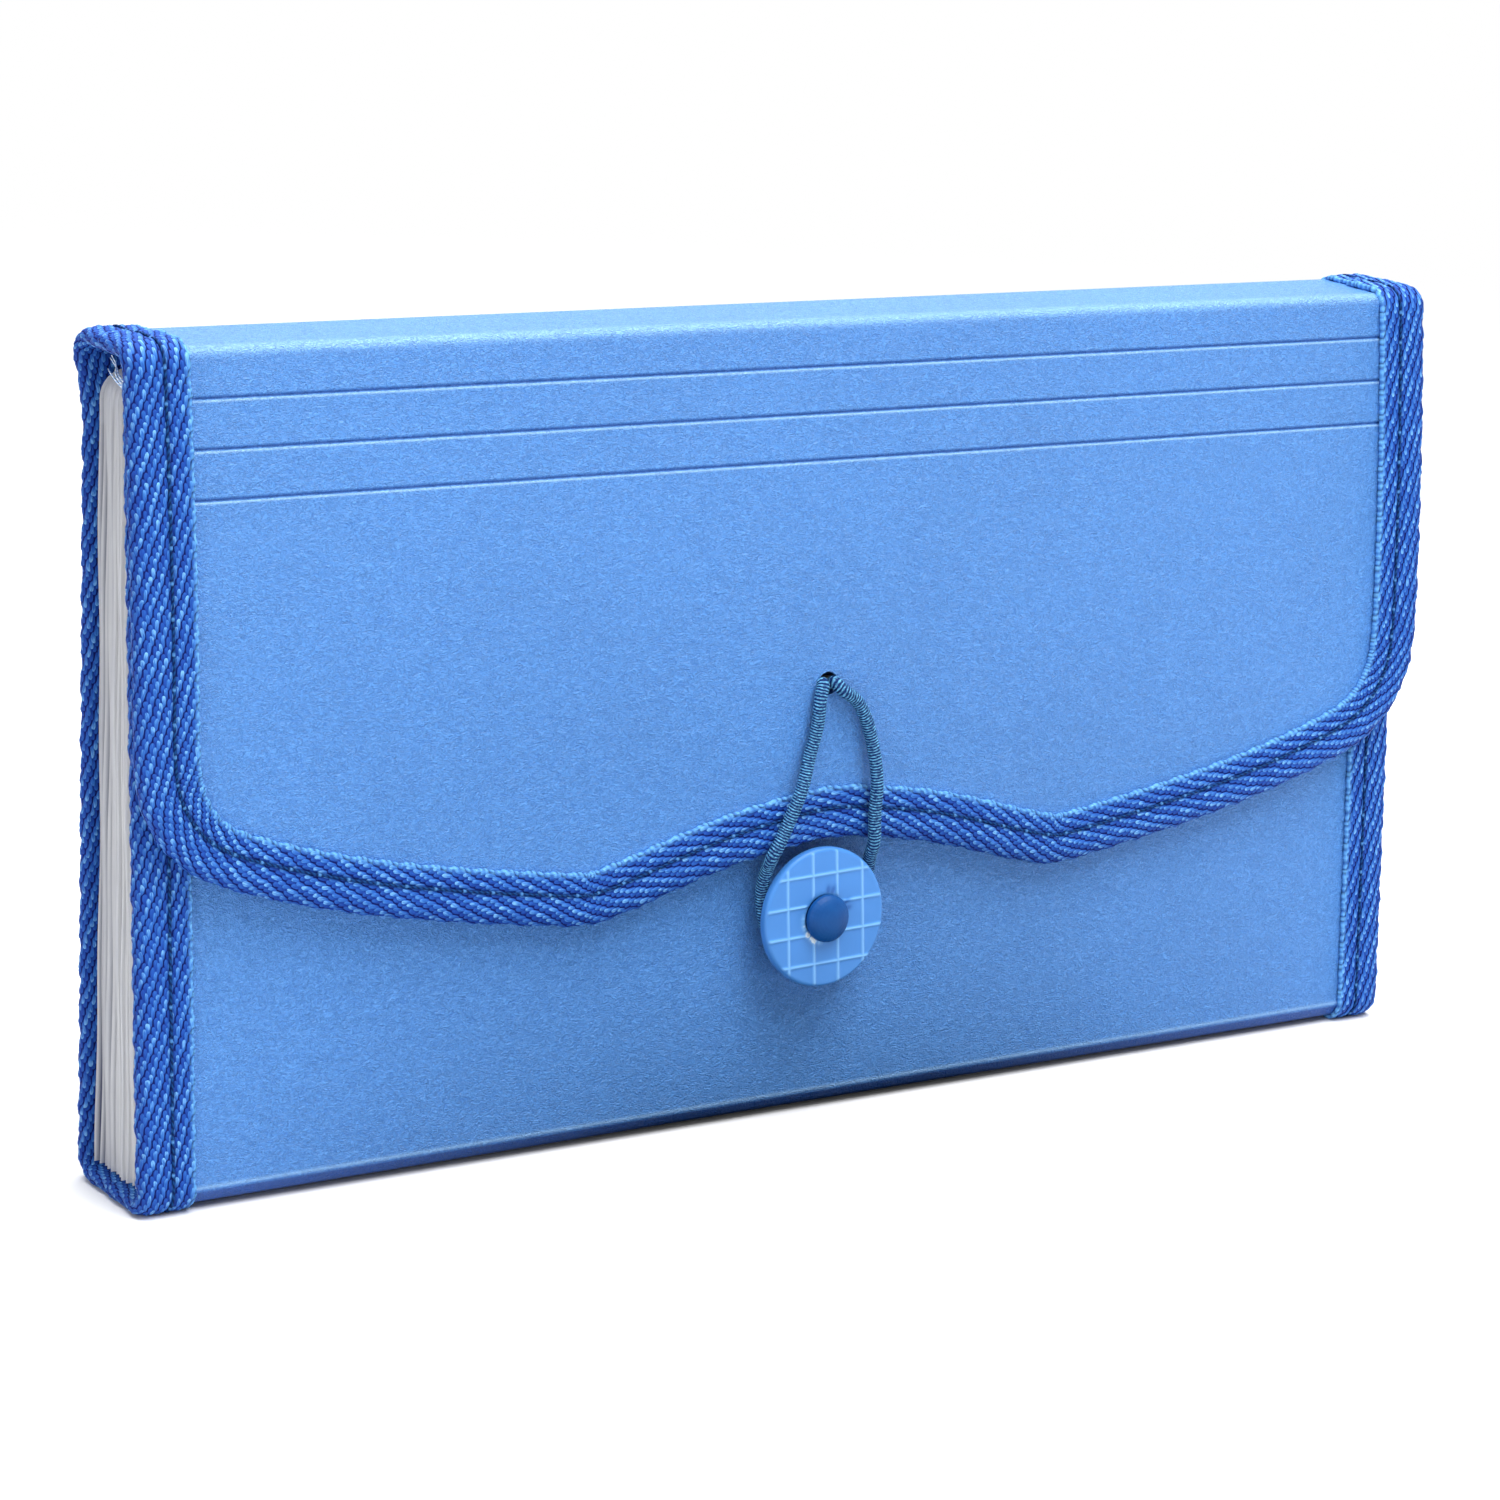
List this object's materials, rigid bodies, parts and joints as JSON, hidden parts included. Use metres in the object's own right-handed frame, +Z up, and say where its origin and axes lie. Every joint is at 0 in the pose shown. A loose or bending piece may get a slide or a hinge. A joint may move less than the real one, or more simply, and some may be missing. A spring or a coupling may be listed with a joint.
{
  "type": "expanding cheque book holder",
  "caption": "Stiff-covered expanding wallet standing on its base, with pleated gussets, fabric edge binding, a wavy flap and an elastic loop on a disc button.",
  "frame": {"origin": "centre of the bounding box's underside: the base bindings stand on Z = 0", "axes": "+X along the width, from the left end to the right end seen from the front; -Y is the front with the flap and the button; +Z up"},
  "size_m": [0.2558, 0.0308, 0.1373],
  "materials": {
    "cover": "embossed stiff polypropylene sheet, fine leather grain",
    "binding": "woven polyester binding, royal blue",
    "film": "frosted translucent polypropylene film",
    "button": "moulded pale blue plastic",
    "rivet": "blue coated domed rivet",
    "elastic": "braided round elastic",
    "bar": "moulded pale bar end"
  },
  "bodies": {
    "back": {"back_panel": "cover", "base_strip": "cover", "back_binding_left": "binding", "back_binding_right": "binding", "base_binding_left": "binding", "base_binding_right": "binding", "gusset_left": "film", "gusset_right": "film"},
    "roof": {"roof_strip": "cover", "roof_binding_left": "binding", "roof_binding_right": "binding"},
    "flap": {"flap_panel": "cover", "flap_binding": "binding", "loop_bar": "bar"},
    "loop": {"elastic_loop": "elastic"},
    "front": {"front_panel": "cover", "front_binding_left": "binding", "front_binding_right": "binding", "button_rivet": "rivet", "rivet_washer": "rivet"},
    "button": {"button_disc": "button"},
    "leaf_1": {"divider_1": "film"},
    "leaf_2": {"divider_2": "film"},
    "leaf_3": {"divider_3": "film"},
    "leaf_4": {"divider_4": "film"},
    "leaf_5": {"divider_5": "film"},
    "leaf_6": {"divider_6": "film"},
    "leaf_7": {"divider_7": "film"},
    "leaf_8": {"divider_8": "film"},
    "leaf_9": {"divider_9": "film"},
    "leaf_10": {"divider_10": "film"},
    "leaf_11": {"divider_11": "film"},
    "leaf_12": {"divider_12": "film"}
  },
  "joints": [
    {"name": "roof_hinge", "type": "hinge", "parent": "back", "child": "roof", "pos_m": [0, 0.01452, 0.1365], "axis": [-1, 0, 0], "range_deg": [0, 200]},
    {"name": "flap_hinge", "type": "hinge", "parent": "roof", "child": "flap", "pos_m": [0, -0.00378, 0.1359], "axis": [-1, 0, 0], "range_deg": [0, 120]},
    {"name": "loop_lift", "type": "hinge", "parent": "flap", "child": "loop", "pos_m": [0, -0.00728, 0.0753], "axis": [-1, 0, 0], "range_deg": [0, 70], "deforming": ["elastic_loop"]},
    {"name": "button_turn", "type": "hinge", "parent": "front", "child": "button", "pos_m": [-0.0028, -0.00663, 0.03544], "axis": [0, -0.9983, 0.0577], "continuous": true},
    {"name": "leaf_1_opens", "type": "hinge", "parent": "back", "child": "leaf_1", "pos_m": [0, -0.00848, 0.0034], "axis": [1, 0, 0], "range_deg": [0, 1.4]},
    {"name": "leaf_2_opens", "type": "hinge", "parent": "back", "child": "leaf_2", "pos_m": [0, -0.00848, 0.0034], "axis": [1, 0, 0], "range_deg": [0, 2.4]},
    {"name": "leaf_3_opens", "type": "hinge", "parent": "back", "child": "leaf_3", "pos_m": [0, -0.00848, 0.0034], "axis": [1, 0, 0], "range_deg": [0, 3.4]},
    {"name": "leaf_4_opens", "type": "hinge", "parent": "back", "child": "leaf_4", "pos_m": [0, -0.00848, 0.0034], "axis": [1, 0, 0], "range_deg": [0, 4.4]},
    {"name": "leaf_5_opens", "type": "hinge", "parent": "back", "child": "leaf_5", "pos_m": [0, -0.00848, 0.0034], "axis": [1, 0, 0], "range_deg": [0, 5.4]},
    {"name": "leaf_6_opens", "type": "hinge", "parent": "back", "child": "leaf_6", "pos_m": [0, -0.00848, 0.0034], "axis": [1, 0, 0], "range_deg": [0, 6.4]},
    {"name": "leaf_7_opens", "type": "hinge", "parent": "back", "child": "leaf_7", "pos_m": [0, -0.00848, 0.0034], "axis": [1, 0, 0], "range_deg": [0, 7.4]},
    {"name": "leaf_8_opens", "type": "hinge", "parent": "back", "child": "leaf_8", "pos_m": [0, -0.00848, 0.0034], "axis": [1, 0, 0], "range_deg": [0, 8.4]},
    {"name": "leaf_9_opens", "type": "hinge", "parent": "back", "child": "leaf_9", "pos_m": [0, -0.00848, 0.0034], "axis": [1, 0, 0], "range_deg": [0, 9.4]},
    {"name": "leaf_10_opens", "type": "hinge", "parent": "back", "child": "leaf_10", "pos_m": [0, -0.00848, 0.0034], "axis": [1, 0, 0], "range_deg": [0, 10.4]},
    {"name": "leaf_11_opens", "type": "hinge", "parent": "back", "child": "leaf_11", "pos_m": [0, -0.00848, 0.0034], "axis": [1, 0, 0], "range_deg": [0, 11.4]},
    {"name": "leaf_12_opens", "type": "hinge", "parent": "back", "child": "leaf_12", "pos_m": [0, -0.00848, 0.0034], "axis": [1, 0, 0], "range_deg": [0, 12.4]},
    {"name": "front_opens", "type": "hinge", "parent": "back", "child": "front", "pos_m": [0, -0.00848, 0.0034], "axis": [1, 0, 0], "range_deg": [0, 13.4], "deforming": ["gusset_left", "gusset_right"]}
  ],
  "couplings": [
    {"joint": "leaf_1_opens", "follows": "roof_hinge", "ratio": 0.005},
    {"joint": "leaf_2_opens", "follows": "roof_hinge", "ratio": 0.01},
    {"joint": "leaf_3_opens", "follows": "roof_hinge", "ratio": 0.015},
    {"joint": "leaf_4_opens", "follows": "roof_hinge", "ratio": 0.02},
    {"joint": "leaf_5_opens", "follows": "roof_hinge", "ratio": 0.025},
    {"joint": "leaf_6_opens", "follows": "roof_hinge", "ratio": 0.03},
    {"joint": "leaf_7_opens", "follows": "roof_hinge", "ratio": 0.035},
    {"joint": "leaf_8_opens", "follows": "roof_hinge", "ratio": 0.04},
    {"joint": "leaf_9_opens", "follows": "roof_hinge", "ratio": 0.045},
    {"joint": "leaf_10_opens", "follows": "roof_hinge", "ratio": 0.05},
    {"joint": "leaf_11_opens", "follows": "roof_hinge", "ratio": 0.055},
    {"joint": "leaf_12_opens", "follows": "roof_hinge", "ratio": 0.06},
    {"joint": "front_opens", "follows": "roof_hinge", "ratio": 0.065}
  ]
}
